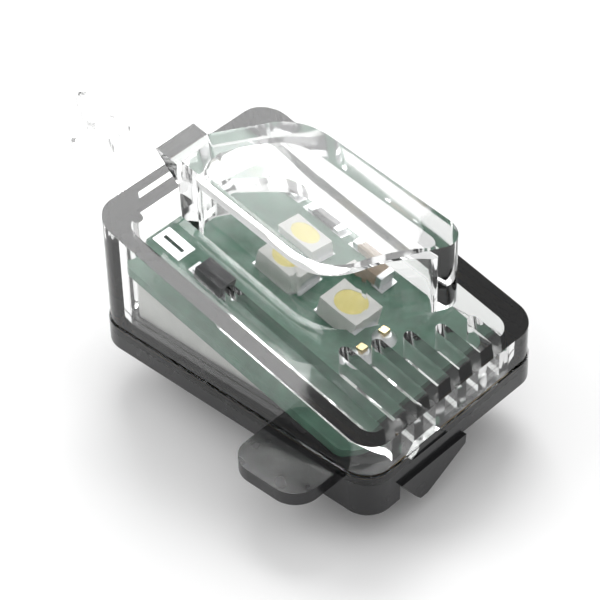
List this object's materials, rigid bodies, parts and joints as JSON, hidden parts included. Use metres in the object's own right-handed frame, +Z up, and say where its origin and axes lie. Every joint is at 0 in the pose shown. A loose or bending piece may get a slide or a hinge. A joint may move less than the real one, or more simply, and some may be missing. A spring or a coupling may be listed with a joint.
{
  "type": "door handle light",
  "caption": "Clear wedge-shaped light for an outside door handle, with a raised window, a snap clip at the back and a black housing with a side tab and connector socket.",
  "frame": {"origin": "middle of the housing's lower face, on which the light rests", "axes": "+X from the snap clip towards the thin front end, +Y across, away from the side tab, +Z up through the window"},
  "size_m": [0.041, 0.0231, 0.0208],
  "materials": {
    "clear_plastic": "clear, gloss",
    "black_plastic": "semi-gloss",
    "adhesive": "satin",
    "pale_plastic": "satin",
    "board_green": "satin",
    "diode_white": "satin",
    "phosphor": "gloss",
    "tin": "satin",
    "chip_black": "matte",
    "chip_tan": "matte",
    "contact_metal": "satin"
  },
  "bodies": {
    "root": {"clear_cover": "clear_plastic", "black_housing": "black_plastic", "joint_bead": "adhesive", "board_carrier": "pale_plastic", "circuit_board": "board_green", "led_rear_package": "diode_white", "led_front_package": "diode_white", "led_rear_phosphor": "phosphor", "led_front_phosphor": "phosphor", "led_terminals": "tin", "solder_pads": "tin", "resistor_rear": "chip_black", "resistor_front": "chip_black", "resistor_caps": "tin", "protection_diode": "chip_black", "diode_terminals": "tin", "filter_capacitor": "chip_tan", "capacitor_caps": "tin", "supply_contact": "contact_metal", "ground_contact": "contact_metal", "contact_solder": "tin"}
  },
  "joints": []
}
